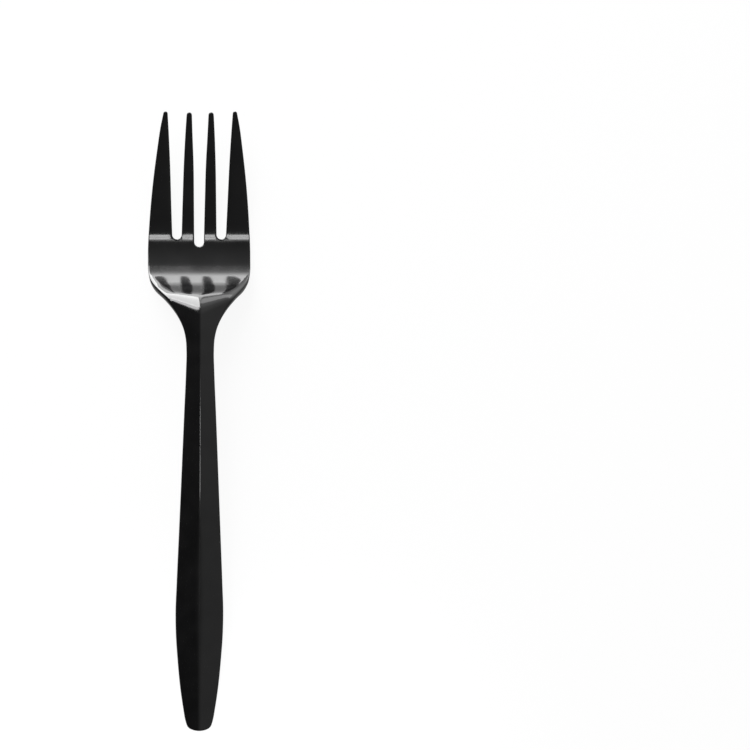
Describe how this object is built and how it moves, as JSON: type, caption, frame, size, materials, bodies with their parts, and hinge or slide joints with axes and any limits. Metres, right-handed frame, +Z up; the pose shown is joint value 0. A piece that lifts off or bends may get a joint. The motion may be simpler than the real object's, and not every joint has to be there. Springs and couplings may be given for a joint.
{
  "type": "plastic fork",
  "caption": "Disposable table fork moulded in glossy black plastic, with tapered tines, a shallow bowl, a steep neck and a tapered handle with a raised centre ridge.",
  "frame": {"origin": "bottom centre of the bounding box, on the surface that the fork lies on", "axes": "+X across the fork, +Y along it towards the points of the tines, +Z up, out of the hollow side"},
  "size_m": [0.0272, 0.165, 0.0119],
  "materials": {
    "black_polystyrene": "gloss"
  },
  "bodies": {
    "root": {"fork": "black_polystyrene"}
  },
  "joints": []
}
